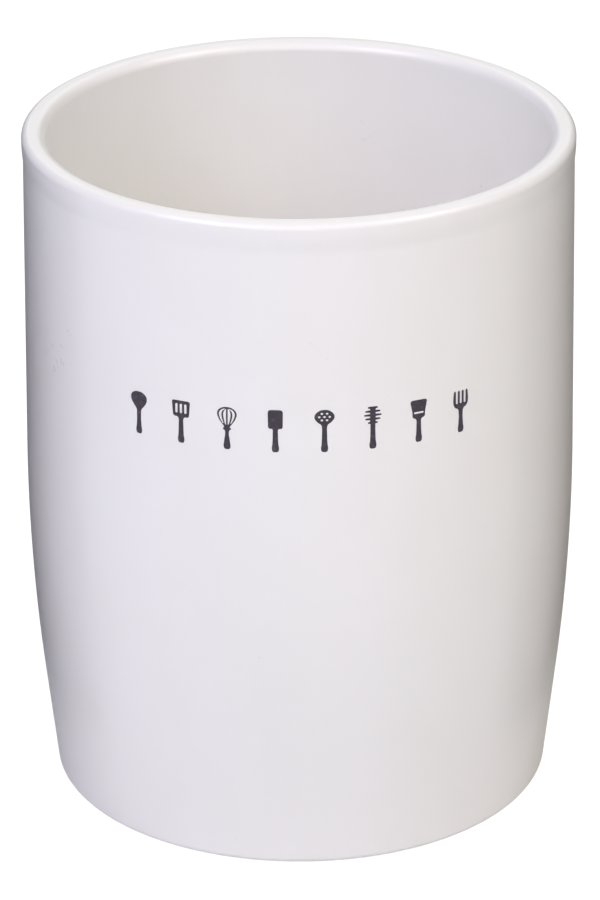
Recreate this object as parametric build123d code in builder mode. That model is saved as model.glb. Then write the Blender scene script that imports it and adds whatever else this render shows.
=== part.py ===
"""Utensil crock: a straight-sided stoneware jar with a gentle belly, a rolled lip and a dry foot ring.

The clay body is one turned piece. A glass coat covers it outside, over the lip and inside. Only the
foot ring is bare clay, and it parts the coat from the small disc of glaze in the hollow of the base.
The frame is +Z up, with the origin on the table at the middle of the foot. Sizes are in millimetres.
"""

import os
from math import radians, tan

from build123d import *

# Overall sizes, measured over the glaze
height = 165.0
lip_diameter = 130.5
shoulder_diameter = 132.9  # where the two straight sides would meet without their curve
shoulder_height = 56.0
shoulder_blend = 30.4  # how far the belly's curve reaches along each side from there
foot_diameter = 120.8

# Wall and floor
wall_thickness = 5.4  # clay and glaze together, measured level
floor_thickness = 7.0
floor_corner_radius = 14.0

# Lip
lip_overhang = 0.35  # how far the lip stands out from the side
lip_height = 7.0  # from the top of the lip down to the neck under it
lip_band = 4.0  # the part of that height that has the full diameter
lip_blend = 0.7  # how far the soft curves at the neck and above it reach each way
lip_outer_radius = 1.7
lip_inner_radius = 2.4

# Foot
foot_edge_radius = 1.7
foot_ring_width = 7.5
foot_hollow_depth = 2.7
foot_hollow_draft = 1.0  # how much narrower the hollow is at its roof
foot_hollow_radius = 1.5

# Glaze and the bare ring that it stops at
glaze_thickness = 0.4
dry_foot_height = 0.3  # the bare ring stands this far below the glaze
dry_foot_margin = 0.2  # from the end of the foot's rounding to the bare ring
dry_foot_edge_radius = 0.2

foot_radius = foot_diameter / 2
shoulder_side = shoulder_diameter / 2
lip_side = lip_diameter / 2
side_top = lip_side - lip_overhang
hollow_roof = dry_foot_height + foot_hollow_depth
floor_top = hollow_roof + floor_thickness


def side_radius(level):
    """Radius of the outer side at a level, on the two straight sides before they are blended."""
    if level < shoulder_height:
        share = (level - dry_foot_height) / (shoulder_height - dry_foot_height)
        return foot_radius + (shoulder_side - foot_radius) * share
    share = (level - shoulder_height) / (height - shoulder_height)
    return shoulder_side + (side_top - shoulder_side) * share


def blend_radius(before, corner, after, reach):
    """Radius of the curve that rounds a corner from one reach before it to one reach after it."""
    turn = (Vector(corner) - Vector(before)).get_angle(Vector(after) - Vector(corner))
    return reach / tan(radians(turn) / 2)


# Half section of the glazed crock, from the axis under the base round to the axis on the floor
foot_corner = (foot_radius, dry_foot_height)
shoulder = (shoulder_side, shoulder_height)
neck = (side_radius(height - lip_height), height - lip_height)
lip_bottom = (lip_side, height - lip_band)
lip_top = (lip_side, height)
corners = [
    (0, hollow_roof),
    (foot_radius - foot_ring_width - foot_hollow_draft, hollow_roof),
    (foot_radius - foot_ring_width, dry_foot_height),
    foot_corner,
    shoulder,
    neck,
    lip_bottom,
    lip_top,
    (side_top - wall_thickness, height),
    (shoulder_side - wall_thickness, shoulder_height),
    (side_radius(floor_top) - wall_thickness, floor_top),
    (0, floor_top),
]
belly_radius = blend_radius(foot_corner, shoulder, neck, shoulder_blend)
corner_radii = [
    foot_hollow_radius,
    foot_hollow_radius,
    foot_edge_radius,
    belly_radius,
    blend_radius(shoulder, neck, lip_bottom, lip_blend),
    blend_radius(neck, lip_bottom, lip_top, lip_blend),
    lip_outer_radius,
    lip_inner_radius,
    belly_radius,
    floor_corner_radius,
]
with BuildSketch(Plane.XZ) as glazed_section:
    with BuildLine():
        outline = FilletPolyline(*corners, radius=corner_radii)
        Line(outline @ 1, outline @ 0)
    make_face()

# The clay alone: the same section, a coat thinner all round, with its bare ring reaching the table
bare_inside = foot_radius - foot_ring_width + foot_hollow_radius + dry_foot_margin
bare_outside = foot_radius - foot_edge_radius - dry_foot_margin
with BuildSketch(Plane.XZ) as clay_section:
    add(glazed_section.sketch_local)
    mirror(about=Plane.YZ)
    offset(amount=-glaze_thickness)
    split(bisect_by=Plane.YZ)
    with Locations((bare_inside, 0)):
        Rectangle(bare_outside - bare_inside, hollow_roof, align=(Align.MIN, Align.MIN))
    fillet(clay_section.vertices().group_by(Axis.Y)[0], dry_foot_edge_radius)

with BuildSketch(Plane.XZ) as glaze_sections:
    add(glazed_section.sketch_local)
    add(clay_section.sketch_local, mode=Mode.SUBTRACT)
base_section, coat_section = glaze_sections.sketch.faces().sort_by(SortBy.AREA)

# Fired clay, bare only at the foot ring
with BuildPart() as stoneware_body:
    revolve(clay_section.sketch, axis=Axis.Z)
stoneware_body.part.label = "stoneware_body"

# Glass coat over the outside, the lip, the inside and the floor, in one skin
with BuildPart() as glaze_coat:
    revolve(coat_section, axis=Axis.Z)
glaze_coat.part.label = "glaze_coat"

# The same glaze in the hollow of the base, cut off from the rest by the bare ring
with BuildPart() as base_glaze:
    revolve(base_section, axis=Axis.Z)
base_glaze.part.label = "base_glaze"

os.makedirs("parts", exist_ok=True)
for piece in (stoneware_body, glaze_coat, base_glaze):
    export_step(piece.part, f"parts/{piece.part.label}.step")
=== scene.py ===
import math

import bmesh
import bpy
from bpy.props import FloatProperty, FloatVectorProperty, IntProperty, PointerProperty
from mathutils import Matrix, Vector


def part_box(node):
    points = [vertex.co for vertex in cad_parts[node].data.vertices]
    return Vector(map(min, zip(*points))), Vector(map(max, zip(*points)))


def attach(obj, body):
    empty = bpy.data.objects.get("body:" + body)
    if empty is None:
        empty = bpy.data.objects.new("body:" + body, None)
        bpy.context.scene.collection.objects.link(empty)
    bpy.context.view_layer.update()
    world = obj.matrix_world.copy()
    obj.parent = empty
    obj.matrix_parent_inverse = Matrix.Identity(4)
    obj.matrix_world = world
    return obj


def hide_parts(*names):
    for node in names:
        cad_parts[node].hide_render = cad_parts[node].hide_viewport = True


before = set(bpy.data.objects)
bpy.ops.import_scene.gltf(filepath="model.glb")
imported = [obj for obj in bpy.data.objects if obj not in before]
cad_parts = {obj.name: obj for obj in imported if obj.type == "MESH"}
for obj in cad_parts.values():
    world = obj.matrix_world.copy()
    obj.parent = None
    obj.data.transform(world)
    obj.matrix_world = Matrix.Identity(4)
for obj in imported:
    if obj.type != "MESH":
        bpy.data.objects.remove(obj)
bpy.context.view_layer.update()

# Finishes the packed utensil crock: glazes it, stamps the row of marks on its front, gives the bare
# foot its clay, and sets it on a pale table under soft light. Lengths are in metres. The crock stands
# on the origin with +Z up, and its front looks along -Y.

bl_info = {
    "name": "Utensil Crock",
    "version": (1, 0, 0),
    "blender": (4, 5, 0),
    "location": "3D View > Sidebar > Crock",
    "description": "Glazes, stamps and lights a stoneware utensil crock",
    "category": "Object",
}

BODY = "root"
CROCK_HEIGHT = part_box("glaze_coat")[1].z
DRY_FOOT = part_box("glaze_coat")[0].z
MERGE = 1e-6  # two points nearer than this are one
NEAR = 1e-5  # how exactly a corner is found again by its place
BELLY_SLACK = 0.0001  # how far the turned belly may be from the packed solid's
SHARP_EDGE = math.radians(50)  # edges sharper than this stay sharp in the shading
CURVE_STEPS = 6  # steps between two points of a mark's outline
CUTTER_HALF = 10  # half of a cutter's straight part, in widths of the mark's softened edge

# Steps in a rounded corner of the section: never fewer, and none turns or reaches further
FEWEST_STEPS = 4
STEP_TURN = math.radians(7)
STEP_LENGTH = 0.004


def length(name, description, default):
    """A size in metres."""
    return FloatProperty(name=name, description=description, default=default, unit="LENGTH", precision=5)


def number(name, description, default):
    """A plain number."""
    return FloatProperty(name=name, description=description, default=default, precision=4)


def colour(name, description, default):
    """A colour in linear light."""
    return FloatVectorProperty(
        name=name, description=description, default=default, subtype="COLOR", size=3, min=0.0, max=1.0
    )


class CrockSection(bpy.types.PropertyGroup):
    """Sizes of the turned section, over the glaze"""

    lip_diameter: length("Lip Diameter", "Across the lip", 0.1305)
    shoulder_diameter: length("Shoulder Diameter", "Where the two straight sides would meet", 0.1329)
    shoulder_height: length("Shoulder Height", "Level where the two straight sides would meet", 0.056)
    shoulder_blend: length("Shoulder Blend", "Reach of the belly's curve along each side", 0.0304)
    foot_diameter: length("Foot Diameter", "Across the foot, before its edge is rounded", 0.1208)
    foot_edge_radius: length("Foot Edge Radius", "Rounding at the foot", 0.0017)
    dry_margin: length("Dry Margin", "From the foot's rounding to the bare ring", 0.0002)
    wall_thickness: length("Wall Thickness", "Clay and glaze together, measured level", 0.0054)
    floor_top: length("Floor Level", "Top of the floor inside", 0.01)
    floor_corner_radius: length("Floor Corner Radius", "Rounding between the wall and the floor", 0.014)
    lip_overhang: length("Lip Overhang", "How far the lip stands out from the side", 0.00035)
    lip_height: length("Lip Height", "From the top of the lip to the neck under it", 0.007)
    lip_band: length("Lip Band", "Part of the lip's height with the full diameter", 0.004)
    lip_blend: length("Lip Blend", "Reach of the soft curves at the neck", 0.0007)
    lip_outer_radius: length("Lip Outer Radius", "Rounding outside the lip", 0.0017)
    lip_inner_radius: length("Lip Inner Radius", "Rounding inside the lip", 0.0024)
    glaze_thickness: length("Glaze Thickness", "Thickness of the glass coat", 0.0004)
    facets: IntProperty(name="Facets", description="Steps round the crock", default=320, min=24)


class CrockMarks(bpy.types.PropertyGroup):
    """Sizes of the row of stamped marks"""

    tall: length("Height", "Height of each mark", 0.0104)
    stoutness: number("Stoutness", "How much wider the marks are than their outlines", 1.3)
    level: length("Level", "Level of the middle of the row", 0.115)
    step: FloatProperty(
        name="Step", description="Turn to the next mark", default=math.radians(9.75), subtype="ANGLE"
    )
    depth: length("Depth", "How deep the marks are pressed into the glaze", 0.0003)
    sink: length("Sink", "How far the stain lies below the glaze", 0.00011)
    lip: length("Edge", "Width of the softened edge round each mark", 0.00006)


class CrockColours(bpy.types.PropertyGroup):
    """Colours of the glaze, the stain and the clay"""

    glaze: colour("Glaze", "White glaze", (0.945, 0.93, 0.907))
    glaze_pool: colour("Pooled Glaze", "Glaze where it lies a little thicker", (0.956, 0.944, 0.927))
    stain: colour("Stain", "Stain in the marks", (0.052, 0.042, 0.058))
    stain_worn: colour("Worn Stain", "Stain where it lies thin", (0.105, 0.088, 0.112))
    clay: colour("Clay", "Bare fired clay", (0.62, 0.52, 0.40))
    clay_dark: colour("Clay Grain", "Darker grains in the clay", (0.36, 0.27, 0.19))


class CrockStudio(bpy.types.PropertyGroup):
    """Camera and lights"""

    camera_back: length("Camera Distance", "How far in front of the crock the camera stands", 0.9756)
    camera_height: length("Camera Height", "Level of the camera", 0.518)
    camera_pitch: FloatProperty(
        name="Camera Pitch", description="How far the camera looks down", default=0.42104, subtype="ANGLE"
    )
    camera_roll: FloatProperty(
        name="Camera Roll", description="How far the camera leans aside", default=-0.00385, subtype="ANGLE"
    )
    lens: number("Lens", "Focal length in millimetres", 176.0)
    table_white: number("Table White", "Light of the table's own, which keeps its shadows faint", 0.91)
    room: number("Room Light", "Brightness of the room around", 0.25)


class Socket:
    """The output of a shader node. Arithmetic on it adds Math nodes."""

    def __init__(self, shader, output):
        self.shader = shader
        self.output = output

    def maths(self, operation, *values):
        return self.shader.node("ShaderNodeMath", {"operation": operation}, list(values))

    def __add__(self, other):
        return self.maths("ADD", self, other)

    def __radd__(self, other):
        return self.maths("ADD", other, self)

    def __sub__(self, other):
        return self.maths("SUBTRACT", self, other)

    def __rsub__(self, other):
        return self.maths("SUBTRACT", other, self)

    def __mul__(self, other):
        return self.maths("MULTIPLY", self, other)

    def __rmul__(self, other):
        return self.maths("MULTIPLY", other, self)

    def between(self, low, high):
        """0 below low, 1 above high, and a smooth step from one to the other."""
        settings = {"interpolation_type": "SMOOTHSTEP"}
        return self.shader.node("ShaderNodeMapRange", settings, {"Value": self, 1: low, 2: high})


class Shader:
    """A material whose one Principled shader is fed by the nodes that are added here."""

    def __init__(self, name, **constants):
        self.material = bpy.data.materials.new(name)
        self.material.use_nodes = True
        self.tree = self.material.node_tree
        self.surface = self.tree.nodes["Principled BSDF"]
        for socket, value in constants.items():
            self.surface.inputs[socket.replace("_", " ")].default_value = value
        self.place = self.node("ShaderNodeTexCoord", {}, {}, "Object")

    def node(self, kind, settings, sockets, output=0):
        """Adds a node, sets it up, feeds its sockets with values or links, and returns an output."""
        node = self.tree.nodes.new(kind)
        for name, value in settings.items():
            setattr(node, name, value)
        pairs = sockets.items() if isinstance(sockets, dict) else enumerate(sockets)
        for key, value in pairs:
            self.feed(node.inputs[key], value)
        return Socket(self, node.outputs[output])

    def feed(self, socket, value):
        if isinstance(value, Socket):
            self.tree.links.new(value.output, socket)
        else:
            socket.default_value = value

    def noise(self, scale, detail=2.0, rough=0.5, stretch=(1.0, 1.0, 1.0)):
        """Smooth noise of about 1 / scale metres, from 0 to 1."""
        place = self.node("ShaderNodeMapping", {}, {"Vector": self.place, "Scale": stretch})
        sockets = {"Vector": place, "Scale": scale, "Detail": detail, "Roughness": rough}
        return self.node("ShaderNodeTexNoise", {}, sockets)

    def specks(self, spacing, size, share):
        """1 inside round specks. Only the given share of the cells, each spacing wide, holds one."""
        sockets = {"Vector": self.place, "Scale": 1 / spacing}
        near = self.node("ShaderNodeTexVoronoi", {}, sockets, "Distance")
        cell = self.node("ShaderNodeTexVoronoi", {}, sockets, "Color")
        chance = self.node("ShaderNodeSeparateColor", {}, {"Color": cell}, "Red")
        edge = size / spacing
        return (1 - near.between(edge / 2, edge)) * (1 - chance.between(share, share + 0.01))

    def mix(self, share, one, other):
        """The colour one where share is 0, and other where it is 1."""
        sockets = {0: share, 6: (*one, 1.0), 7: (*other, 1.0)}
        return self.node("ShaderNodeMix", {"data_type": "RGBA"}, sockets, 2)

    def finish(self, body, roughness, relief, depth):
        """Feeds the surface. relief is a height from 0 to 1 that stands for a depth in metres."""
        self.feed(self.surface.inputs["Base Color"], body)
        self.feed(self.surface.inputs["Roughness"], roughness)
        bump = self.node("ShaderNodeBump", {}, {"Strength": 1.0, "Distance": depth, "Height": relief})
        self.feed(self.surface.inputs["Normal"], bump)
        return self.material


def glaze_finish(colours):
    """White glaze: soft clouds and faint runs where it pooled, and a fired surface's slow waves."""
    shader = Shader("white_glaze", IOR=1.52)
    clouds = shader.noise(38.0, detail=3.0, rough=0.55)
    runs = shader.noise(90.0, stretch=(1.0, 1.0, 0.3))
    pooled = (clouds * 0.6 + runs * 0.4).between(0.35, 0.65)
    body = shader.mix(pooled, colours.glaze, colours.glaze_pool)
    peel = shader.noise(700.0, detail=1.0)
    waves = shader.noise(55.0, detail=1.0)
    roughness = 0.25 + clouds * 0.05 + peel * 0.03
    return shader.finish(body, roughness, relief=waves * 0.85 + peel * 0.05, depth=0.00006)


def stain_finish(colours):
    """Dark stain, a little thin in patches, with a drier surface than the glaze."""
    shader = Shader("stamp_stain", IOR=1.45)
    patches = shader.noise(900.0, detail=3.0, rough=0.6)
    grain = shader.noise(6000.0, rough=0.6)
    thin = (patches * 0.7 + grain * 0.3).between(0.48, 0.72)
    body = shader.mix(thin, colours.stain, colours.stain_worn)
    return shader.finish(body, roughness=0.38 + grain * 0.2, relief=grain, depth=0.00001)


def clay_finish(colours):
    """Bare fired clay: warm, dull and sandy, with darker grains."""
    shader = Shader("bare_stoneware", IOR=1.5)
    tone = shader.noise(120.0, detail=4.0, rough=0.6)
    sand = shader.noise(2600.0, detail=3.0, rough=0.65)
    grains = shader.specks(spacing=0.0016, size=0.00022, share=0.4)
    dark = (tone * 0.5 + sand * 0.5).between(0.42, 0.75) * 0.35 + grains * 0.5
    body = shader.mix(dark, colours.clay, colours.clay_dark)
    return shader.finish(body, roughness=0.78 + sand * 0.15, relief=sand - grains * 0.4, depth=0.00008)


def start_alone():
    """Leaves nothing selected, so that the next operators act only on what is added."""
    if bpy.context.mode != "OBJECT":
        bpy.ops.object.mode_set(mode="OBJECT")
    bpy.ops.object.select_all(action="DESELECT")
    bpy.context.tool_settings.mesh_select_mode = (True, False, False)


def select_only(*objects):
    """Selects these objects, and makes the first one active."""
    start_alone()
    for piece in objects:
        piece.select_set(True)
    bpy.context.view_layer.objects.active = objects[0]


def pick(piece, test, kind="verts"):
    """In edit mode, selects the vertices or faces that pass the test."""
    bpy.context.tool_settings.mesh_select_mode = (kind == "verts", False, kind == "faces")
    bpy.ops.mesh.select_all(action="DESELECT")
    mesh = bmesh.from_edit_mesh(piece.data)
    for part in getattr(mesh, kind):
        if test(part):
            part.select = True
    mesh.select_flush_mode()
    bmesh.update_edit_mesh(piece.data)


def use_modifier(piece, kind, **settings):
    """Adds a modifier, sets it up and applies it."""
    select_only(piece)
    bpy.ops.object.modifier_add(type=kind)
    modifier = piece.modifiers[-1]
    for name, value in settings.items():
        setattr(modifier, name, value)
    bpy.ops.object.modifier_apply(modifier=modifier.name)


def place_in_mesh(piece, place=None, turn=None):
    """Puts the place and turn of an object into its mesh, and leaves the object at the origin."""
    if place:
        piece.location = place
    if turn:
        piece.rotation_euler = turn
    select_only(piece)
    bpy.ops.object.transform_apply(location=True, rotation=True, scale=True)


def turn_at(before, corner, after):
    """How far a line turns at a corner, in radians."""
    return (Vector(corner) - Vector(before)).angle(Vector(after) - Vector(corner))


def blend_radius(before, corner, after, reach):
    """Radius of the curve that rounds a corner from one reach before it to one reach after it."""
    return reach / math.tan(turn_at(before, corner, after) / 2)


def side_radius(sizes, level):
    """Radius of the outer side at a level, on the two straight sides before they are blended."""
    foot = sizes.foot_diameter / 2
    shoulder = sizes.shoulder_diameter / 2
    top = sizes.lip_diameter / 2 - sizes.lip_overhang
    if level < sizes.shoulder_height:
        share = (level - DRY_FOOT) / (sizes.shoulder_height - DRY_FOOT)
        return foot + (shoulder - foot) * share
    share = (level - sizes.shoulder_height) / (CROCK_HEIGHT - sizes.shoulder_height)
    return shoulder + (top - shoulder) * share


def skin_section(sizes):
    """Corners (radius, level) of the glazed skin, from the bare ring over the lip to the middle of the
    floor, and the radius of rounding at each corner between its two ends."""
    foot = sizes.foot_diameter / 2
    shoulder = (sizes.shoulder_diameter / 2, sizes.shoulder_height)
    neck_level = CROCK_HEIGHT - sizes.lip_height
    neck = (side_radius(sizes, neck_level), neck_level)
    lip = sizes.lip_diameter / 2
    lip_bottom = (lip, CROCK_HEIGHT - sizes.lip_band)
    lip_top = (lip, CROCK_HEIGHT)
    corners = [
        (foot - sizes.foot_edge_radius - sizes.dry_margin, DRY_FOOT),
        (foot, DRY_FOOT),
        shoulder,
        neck,
        lip_bottom,
        lip_top,
        (lip - sizes.lip_overhang - sizes.wall_thickness, CROCK_HEIGHT),
        (shoulder[0] - sizes.wall_thickness, sizes.shoulder_height),
        (side_radius(sizes, sizes.floor_top) - sizes.wall_thickness, sizes.floor_top),
        (0.0, sizes.floor_top),
    ]
    belly = blend_radius(corners[1], shoulder, neck, sizes.shoulder_blend)
    radii = [
        sizes.foot_edge_radius,
        belly,
        blend_radius(shoulder, neck, lip_bottom, sizes.lip_blend),
        blend_radius(neck, lip_bottom, lip_top, sizes.lip_blend),
        sizes.lip_outer_radius,
        sizes.lip_inner_radius,
        belly,
        sizes.floor_corner_radius,
    ]
    return corners, radii


def draw_wire(name, corners):
    """A wire through corners (radius, level), standing in the plane y = 0."""
    start_alone()
    first = Vector((corners[0][0], 0, corners[0][1]))
    bpy.ops.mesh.primitive_plane_add(size=NEAR, location=first)
    wire = bpy.context.object
    wire.name = name
    place_in_mesh(wire)
    bpy.ops.object.mode_set(mode="EDIT")
    bpy.ops.mesh.merge(type="CENTER")
    for before, after in zip(corners, corners[1:]):
        step = (after[0] - before[0], 0, after[1] - before[1])
        bpy.ops.mesh.extrude_region_move(TRANSFORM_OT_translate={"value": step})
    return wire


def round_corners(wire, corners, radii):
    """Rounds the wire's inner corners as arcs with a tangent start and end."""
    for before, corner, after, radius in zip(corners, corners[1:], corners[2:], radii):
        turn = turn_at(before, corner, after)
        steps = max(FEWEST_STEPS, math.ceil(turn / STEP_TURN), math.ceil(radius * turn / STEP_LENGTH))
        place = Vector((corner[0], 0, corner[1]))
        pick(wire, lambda vertex: (vertex.co - place).length < NEAR)
        # How full the arc is at its middle, whose square is what bevel calls its profile
        fullness = 1 - 0.5 / (1 + math.cos(turn / 2))
        bpy.ops.mesh.bevel(
            affect="VERTICES",
            offset_type="OFFSET",
            offset=radius * math.tan(turn / 2),
            segments=steps,
            profile=fullness**2,
            clamp_overlap=False,
        )


def turn_on_wheel(wire, facets):
    """Turns a wire once round the crock's axis, closes its seam and pole, and faces it outwards."""
    bpy.ops.mesh.select_all(action="SELECT")
    bpy.ops.mesh.spin(steps=facets, angle=math.tau, center=(0, 0, 0), axis=(0, 0, 1))
    bpy.ops.mesh.select_all(action="SELECT")
    bpy.ops.mesh.remove_doubles(threshold=MERGE)
    bpy.ops.mesh.normals_make_consistent(inside=False)
    bpy.ops.object.mode_set(mode="OBJECT")
    return wire


def smooth(piece, angle):
    """Smooth shading that keeps edges sharper than the angle, with the large faces leading."""
    select_only(piece)
    bpy.ops.object.shade_smooth_by_angle(angle=angle)
    use_modifier(piece, "WEIGHTED_NORMAL", mode="FACE_AREA", keep_sharp=True)


def dress(piece, material):
    """Gives a piece its material and its body."""
    piece.data.materials.clear()
    piece.data.materials.append(material)
    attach(piece, BODY)


# Outlines of the marks as shares of a mark's height, across and up. Each lists its right half from the
# top down, and R marks a point on a curve where C marks a corner. Each utensil stands on its handle.
R, C = "AUTO", "VECTOR"
HANDLE_SHARES = [(0.044, 0.45, R), (0.05, 0.2, R), (0.06, 0.07, R), (0.042, 0.012, R), (0.0, 0.0, R)]
SPOON_SHARES = [
    (0.0, 1.0, R), (0.1, 0.972, R), (0.16, 0.885, R), (0.158, 0.78, R), (0.105, 0.665, R),
    (0.055, 0.585, R),
]
TURNER_SHARES = [
    (0.0, 1.0, C), (0.13, 1.0, C), (0.157, 0.989, R), (0.168, 0.962, C), (0.15, 0.66, C), (0.138, 0.63, R),
    (0.112, 0.618, C), (0.06, 0.604, R), (0.044, 0.56, R),
]
WHISK_SHARES = [
    (0.0, 1.0, R), (0.105, 0.967, R), (0.168, 0.865, R), (0.152, 0.74, R), (0.09, 0.605, R),
    (0.056, 0.55, C), (0.05, 0.512, C), (0.07, 0.5, C), (0.07, 0.466, C),
]
SKIMMER_SHARES = [
    (0.0, 1.0, R), (0.12, 0.95, R), (0.17, 0.83, R), (0.12, 0.71, R), (0.056, 0.64, R), (0.044, 0.58, R),
]
FORK_SHARES = [
    (0.0, 0.69, R), (0.017, 0.708, C), (0.017, 0.965, C), (0.0405, 1.0, R), (0.064, 0.965, C),
    (0.064, 0.708, C), (0.081, 0.69, R), (0.098, 0.708, C), (0.098, 0.965, C), (0.1215, 1.0, R),
    (0.145, 0.965, C), (0.15, 0.7, R), (0.118, 0.61, R), (0.06, 0.56, R),
]
SCRAPER_SHARES = [
    (0.0, 1.0, C), (0.07, 1.0, C), (0.112, 0.982, R), (0.128, 0.935, C), (0.124, 0.6, C), (0.108, 0.562, R),
    (0.07, 0.552, C), (0.052, 0.544, R), (0.044, 0.51, R),
]
BRUSH_SHARES = [
    (0.0, 1.0, C), (0.1, 1.0, C), (0.142, 0.985, R), (0.155, 0.945, C), (0.122, 0.73, C), (0.115, 0.6, C),
    (0.09, 0.575, R), (0.055, 0.55, R), (0.044, 0.51, R),
]
DIPPER_SHARES = [
    (0.0, 1.0, C), (0.07, 1.0, C), (0.085, 0.985, C), (0.085, 0.955, C), (0.05, 0.945, C),
    (0.05, 0.915, C), (0.13, 0.905, C), (0.13, 0.865, C), (0.05, 0.855, C), (0.05, 0.825, C),
    (0.15, 0.815, C), (0.15, 0.775, C), (0.05, 0.765, C), (0.05, 0.735, C), (0.13, 0.725, C),
    (0.13, 0.685, C), (0.05, 0.675, C), (0.05, 0.645, C), (0.085, 0.635, C), (0.085, 0.6, C),
    (0.044, 0.59, C),
]
OUTER_LOOP_SHARES = [
    (0.046, 0.958, C), (0.104, 0.918, R), (0.137, 0.85, R), (0.122, 0.74, R), (0.075, 0.615, C),
    (0.059, 0.615, C), (0.085, 0.72, R), (0.094, 0.83, R), (0.078, 0.9, R), (0.034, 0.947, C),
]
INNER_LOOP_SHARES = [
    (0.015, 0.955, C), (0.031, 0.94, C), (0.05, 0.9, R), (0.063, 0.83, R), (0.055, 0.72, R),
    (0.034, 0.6, C), (0.015, 0.575, C),
]


def mirrored(points):
    """The same loop on the left."""
    return [(-across, up, kind) for across, up, kind in reversed(points)]


def slot_shares(across, low, high, half_width):
    """A slot with round ends."""
    right, left = across + half_width, across - half_width
    return [
        (right, low + half_width, C), (right, high - half_width, C), (across, high, R),
        (left, high - half_width, C), (left, low + half_width, C), (across, low, R),
    ]


def bar_shares(up, half_height, half_width):
    """A level slot with square ends."""
    low, high = up - half_height, up + half_height
    return [(half_width, low, C), (half_width, high, C), (-half_width, high, C), (-half_width, low, C)]


def dot_shares(across, up, radius):
    """A round hole."""
    right, left = across + radius, across - radius
    return [(right, up, R), (across, up + radius, R), (left, up, R), (across, up - radius, R)]


def skimmer_holes():
    """One hole in the middle of the skimmer and six round it."""
    middle, ring, radius, count = 0.83, 0.088, 0.021, 6
    turns = [math.radians(360 / count * hole) for hole in range(count)]
    around = [dot_shares(ring * math.cos(turn), middle + ring * math.sin(turn), radius) for turn in turns]
    return [dot_shares(0, middle, radius), *around]


# Each mark's outer outline and its holes, in their order along the row
MARKS = {
    "spoon": (SPOON_SHARES, []),
    "turner": (TURNER_SHARES, [slot_shares(across, 0.7, 0.925, 0.02) for across in (-0.083, 0, 0.083)]),
    "whisk": (
        WHISK_SHARES,
        [OUTER_LOOP_SHARES, INNER_LOOP_SHARES, mirrored(OUTER_LOOP_SHARES), mirrored(INNER_LOOP_SHARES)],
    ),
    "scraper": (SCRAPER_SHARES, []),
    "skimmer": (SKIMMER_SHARES, skimmer_holes()),
    "dipper": (DIPPER_SHARES, []),
    "brush": (BRUSH_SHARES, [bar_shares(0.695, 0.018, 0.085)]),
    "fork": (FORK_SHARES, []),
}


def draw_mark(name, shape, marks, extrude, bevel, offset):
    """A mark as a flat plate: across along x, up along y, and its thickness along z."""
    outline, holes = shape
    right = outline + HANDLE_SHARES
    left = [point for point in mirrored(right) if point[0] < 0]
    start_alone()
    bpy.ops.curve.primitive_bezier_circle_add(radius=marks.tall)
    plate = bpy.context.object
    plate.name = name
    curve = plate.data
    curve.splines.clear()
    curve.dimensions = "2D"
    curve.fill_mode = "BOTH"
    curve.extrude = extrude
    curve.bevel_depth = bevel
    curve.bevel_resolution = 0
    curve.offset = offset
    for loop in [right + left, *holes]:
        spline = curve.splines.new("BEZIER")
        spline.use_cyclic_u = True
        spline.resolution_u = CURVE_STEPS
        spline.bezier_points.add(len(loop) - 1)
        for point, (across, up, kind) in zip(spline.bezier_points, loop):
            point.co = (across * marks.stoutness * marks.tall, (up - 0.5) * marks.tall, 0)
            point.handle_left_type = point.handle_right_type = kind
    select_only(plate)
    bpy.ops.object.convert(target="MESH")
    bpy.ops.object.mode_set(mode="EDIT")
    bpy.ops.mesh.select_all(action="SELECT")
    bpy.ops.mesh.remove_doubles(threshold=MERGE)
    bpy.ops.mesh.normals_make_consistent(inside=False)
    return plate


def lay_on_wall(plate, sizes, marks, place):
    """Stands a plate up, bends it to the front wall's curve and turns it to its place in the row."""
    radius = side_radius(sizes, marks.level)
    lean = math.atan2(radius - side_radius(sizes, marks.level + marks.tall), marks.tall)
    bpy.ops.object.mode_set(mode="OBJECT")
    place_in_mesh(plate, turn=(math.pi / 2, 0, 0))
    bend = plate.dimensions.x / radius
    use_modifier(plate, "SIMPLE_DEFORM", deform_method="BEND", deform_axis="Z", angle=bend)
    place_in_mesh(plate, (0, -radius, marks.level), (-lean, 0, 0))
    place_in_mesh(plate, turn=(0, 0, place * marks.step))


def mark_cutter(name, sizes, marks, place):
    """What is cut out of the glaze for one mark: straight sides, with a softened edge at the surface."""
    half = CUTTER_HALF * marks.lip
    plate = draw_mark(f"{name}_cutter", MARKS[name], marks, extrude=half, bevel=marks.lip, offset=0.0)
    # The back face lies a whole edge's width behind the straight sides, and the bevel's faces half of one
    back = -half - 0.75 * marks.lip
    pick(plate, lambda face: face.calc_center_median().z < back, "faces")
    step = (0, 0, marks.lip - marks.depth)
    bpy.ops.mesh.extrude_region_move(TRANSFORM_OT_translate={"value": step})
    bpy.ops.mesh.select_all(action="SELECT")
    bpy.ops.transform.translate(value=(0, 0, half))
    lay_on_wall(plate, sizes, marks, place)
    return plate


def mark_stain(name, sizes, marks, place):
    """The stain at the bottom of one mark."""
    thickness = marks.depth - marks.sink
    edge = marks.lip / 2
    straight = thickness / 2 - edge
    plate = draw_mark(f"{name}_mark", MARKS[name], marks, extrude=straight, bevel=edge, offset=-edge)
    bpy.ops.transform.translate(value=(0, 0, thickness / 2 - marks.depth))
    lay_on_wall(plate, sizes, marks, place)
    return plate


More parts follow.
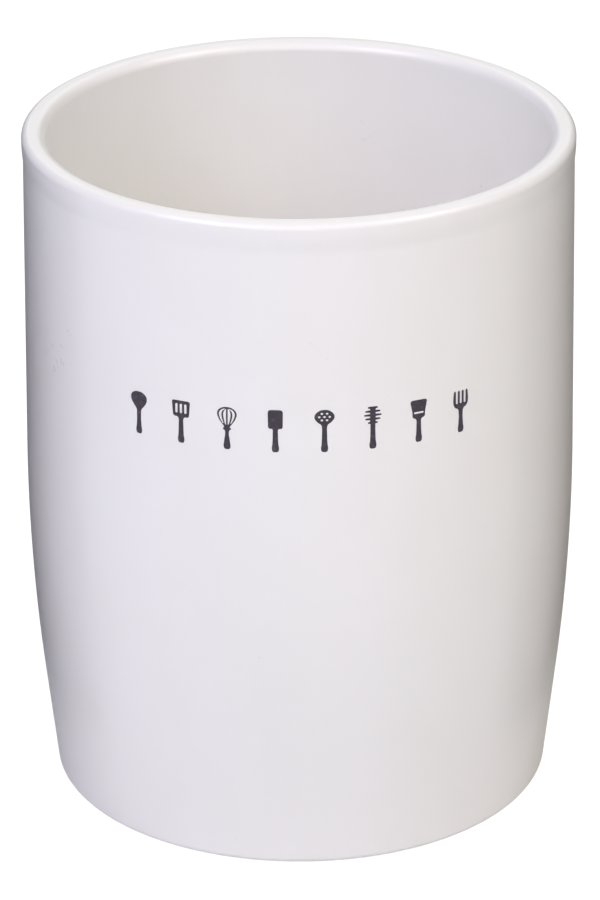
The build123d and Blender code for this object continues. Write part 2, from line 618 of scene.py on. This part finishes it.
class CROCK_OT_glaze_coat(bpy.types.Operator):
    """Turns the glazed skin from the bare ring over the lip to the floor, and gives it its thickness"""

    bl_idname = "crock.glaze_coat"
    bl_label = "Glaze Coat"

    def execute(self, context):
        sizes = context.scene.crock_section
        corners, radii = skin_section(sizes)
        wire = draw_wire("glaze_shell", corners)
        round_corners(wire, corners, radii)
        shell = turn_on_wheel(wire, sizes.facets)
        use_modifier(shell, "SOLIDIFY", thickness=sizes.glaze_thickness, offset=-1.0, use_even_offset=True)
        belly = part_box("glaze_coat")[1].x
        if abs(belly - max(vertex.co.x for vertex in shell.data.vertices)) > BELLY_SLACK:
            raise RuntimeError("the glaze coat's belly isn't the packed solid's")
        dress(shell, glaze_finish(context.scene.crock_colours))
        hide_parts("glaze_coat")
        return {"FINISHED"}


class CROCK_OT_stamped_marks(bpy.types.Operator):
    """Stamps the row of utensil marks into the front of the glaze and fills them with stain"""

    bl_idname = "crock.stamped_marks"
    bl_label = "Stamped Marks"

    def execute(self, context):
        scene = context.scene
        shell = scene.objects["glaze_shell"]
        material = stain_finish(scene.crock_colours)
        middle = (len(MARKS) - 1) / 2
        for order, name in enumerate(MARKS):
            place = order - middle
            uncut = len(shell.data.vertices)
            cutter = mark_cutter(name, scene.crock_section, scene.crock_marks, place)
            use_modifier(shell, "BOOLEAN", object=cutter, operation="DIFFERENCE", solver="EXACT")
            if len(shell.data.vertices) <= uncut:
                raise RuntimeError(f"the {name} wasn't cut out of the glaze")
            select_only(cutter)
            bpy.ops.object.delete()
            stain = mark_stain(name, scene.crock_section, scene.crock_marks, place)
            smooth(stain, SHARP_EDGE)
            dress(stain, material)
        smooth(shell, SHARP_EDGE)
        return {"FINISHED"}


class CROCK_OT_bare_foot(bpy.types.Operator):
    """Finishes the clay body, which shows at the foot ring, and the glaze in the hollow of the base"""

    bl_idname = "crock.bare_foot"
    bl_label = "Bare Foot and Base"

    def execute(self, context):
        colours = context.scene.crock_colours
        finishes = {"stoneware_body": clay_finish(colours), "base_glaze": bpy.data.materials["white_glaze"]}
        for node, material in finishes.items():
            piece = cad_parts[node]
            piece.data.materials.clear()
            piece.data.materials.append(material)
        return {"FINISHED"}


# Each light's place, what it aims at, its width and height, its power in watts and its colour. The
# light is cool from the left and the front, and warm from the right and from high up.
LIGHTS = {
    "left_box": ((-0.88, -0.88, 1.25), (0, 0, 0.12), (0.8, 0.8), 13.0, (0.89, 0.84, 1.0)),
    "right_box": ((0.94, -0.5, 1.25), (0, 0, 0.12), (0.8, 0.8), 9.8, (1.0, 0.915, 0.81)),
    "front_box": ((-0.25, -1.5, 0.75), (0, 0, 0.08), (1.1, 0.9), 3.5, (0.57, 0.74, 1.0)),
    "high_box": ((0, -1.1, 0.95), (0, 0, 0.12), (0.7, 0.7), 2.2, (1.0, 0.78, 0.5)),
    "back_box": ((0, 1.3, 1.0), (0, 0, 0.1), (1.0, 0.8), 3.5, (0.94, 1.0, 0.9)),
}
ROOM_TINT = (0.76, 0.843, 0.955, 1.0)
SENSOR_WIDTH = 36.0  # in millimetres
NEAREST_SEEN, FURTHEST_SEEN = 0.01, 20.0  # from the camera

# Cards beside the crock that darken its edges: middle, length and height, and grey. They show only in
# its reflections and in bounced light.
FLAGS = {
    "left_flag": ((-0.085, 0.03, 0.08), (0.13, 0.16), 0.05),
    "right_flag": ((0.085, 0.03, 0.08), (0.13, 0.16), 0.2),
}
TABLE_SIZE = 8.0
PAPER, PAPER_FIBRE = (0.29, 0.29, 0.29), (0.31, 0.31, 0.31)
CARD_DROP = 0.001  # the bounce card lies this far under the table
CARD_GREY = 0.75


def table_finish(studio):
    """White paper with faint shadows."""
    shader = Shader(
        "pale_table",
        Roughness=0.9,
        Specular_IOR_Level=0.1,
        Emission_Color=(1.0, 1.0, 1.0, 1.0),
        Emission_Strength=studio.table_white,
    )
    paper = shader.mix(shader.noise(400.0), PAPER, PAPER_FIBRE)
    shader.feed(shader.surface.inputs["Base Color"], paper)
    return shader.material


def card_finish(name, grey):
    """Dull card of one grey."""
    return Shader(name, Roughness=0.9, Specular_IOR_Level=0.1, Base_Color=(grey, grey, grey, 1.0)).material


def add_sheet(name, size, place, turn, material):
    """A flat sheet that belongs to the stage."""
    start_alone()
    bpy.ops.mesh.primitive_plane_add(size=1.0)
    sheet = bpy.context.object
    sheet.name = name
    sheet.scale = (*size, 1.0)
    place_in_mesh(sheet, place, turn)
    sheet.data.materials.append(material)
    return sheet


def add_light(name, place, aim, size, power, tint):
    """A soft box that faces a point."""
    start_alone()
    way = Vector(aim) - Vector(place)
    turn = way.to_track_quat("-Z", "Y").to_euler()
    bpy.ops.object.light_add(type="AREA", location=place, rotation=turn)
    lamp = bpy.context.object
    lamp.name = name
    lamp.data.shape = "RECTANGLE"
    lamp.data.size, lamp.data.size_y = size
    lamp.data.energy = power
    lamp.data.color = tint


def add_camera(scene, studio):
    """A camera in front of the crock that looks down on it."""
    start_alone()
    bpy.ops.object.camera_add(location=(0, -studio.camera_back, studio.camera_height))
    camera = bpy.context.object
    look = Matrix.Rotation(math.pi / 2 - studio.camera_pitch, 3, "X")
    camera.rotation_euler = (look @ Matrix.Rotation(studio.camera_roll, 3, "Z")).to_euler()
    camera.data.lens = studio.lens
    camera.data.sensor_width = SENSOR_WIDTH
    camera.data.clip_start, camera.data.clip_end = NEAREST_SEEN, FURTHEST_SEEN
    scene.camera = camera


def lay_table(studio):
    """A table that only the camera sees, and a card under it that stands in for it in all light."""
    size = (TABLE_SIZE, TABLE_SIZE)
    level = (0, 0, 0)
    table = add_sheet("table", size, (0, 0, 0), level, table_finish(studio))
    table.visible_diffuse = table.visible_glossy = table.visible_shadow = False
    card = add_sheet("bounce_card", size, (0, 0, -CARD_DROP), level, card_finish("white_card", CARD_GREY))
    card.visible_camera = False


def stand_flags():
    """The dark cards beside the crock."""
    for name, (middle, (long, tall), grey) in FLAGS.items():
        upright = (0, math.pi / 2, 0)
        flag = add_sheet(name, (tall, long), middle, upright, card_finish(name, grey))
        flag.visible_camera = flag.visible_shadow = False


def light_room(scene, studio):
    """The even light of the room around, and colours shown as they are."""
    world = bpy.data.worlds.new("room")
    world.use_nodes = True
    world.node_tree.nodes["Background"].inputs["Color"].default_value = ROOM_TINT
    world.node_tree.nodes["Background"].inputs["Strength"].default_value = studio.room
    scene.world = world
    scene.view_settings.view_transform = "Standard"


class CROCK_OT_studio(bpy.types.Operator):
    """Sets the camera, the pale table, the dark cards and the soft lights"""

    bl_idname = "crock.studio"
    bl_label = "Studio"

    def execute(self, context):
        scene = context.scene
        studio = scene.crock_studio
        add_camera(scene, studio)
        lay_table(studio)
        stand_flags()
        for name, settings in LIGHTS.items():
            add_light(name, *settings)
        light_room(scene, studio)
        return {"FINISHED"}


class CROCK_PT_sidebar(bpy.types.Panel):
    """Lists the crock's steps and sizes"""

    bl_idname = "CROCK_PT_sidebar"
    bl_label = "Utensil Crock"
    bl_space_type = "VIEW_3D"
    bl_region_type = "UI"
    bl_category = "Crock"

    def draw(self, context):
        layout = self.layout
        for step in STEPS:
            layout.operator(step.bl_idname)
        for group in GROUPS:
            layout.label(text=group.__doc__)
            for name in group.__annotations__:
                layout.prop(getattr(context.scene, GROUPS[group]), name)


STEPS = (CROCK_OT_studio, CROCK_OT_glaze_coat, CROCK_OT_stamped_marks, CROCK_OT_bare_foot)
GROUPS = {
    CrockSection: "crock_section",
    CrockMarks: "crock_marks",
    CrockColours: "crock_colours",
    CrockStudio: "crock_studio",
}


def register():
    for kind in (*GROUPS, *STEPS, CROCK_PT_sidebar):
        bpy.utils.register_class(kind)
    for group, name in GROUPS.items():
        setattr(bpy.types.Scene, name, PointerProperty(type=group))


def unregister():
    for name in GROUPS.values():
        delattr(bpy.types.Scene, name)
    for kind in (CROCK_PT_sidebar, *STEPS, *GROUPS):
        bpy.utils.unregister_class(kind)


def main():
    """Makes the crock and its stage."""
    register()
    bpy.ops.crock.studio()
    bpy.ops.crock.glaze_coat()
    bpy.ops.crock.stamped_marks()
    bpy.ops.crock.bare_foot()


if __name__ == "__main__":
    main()
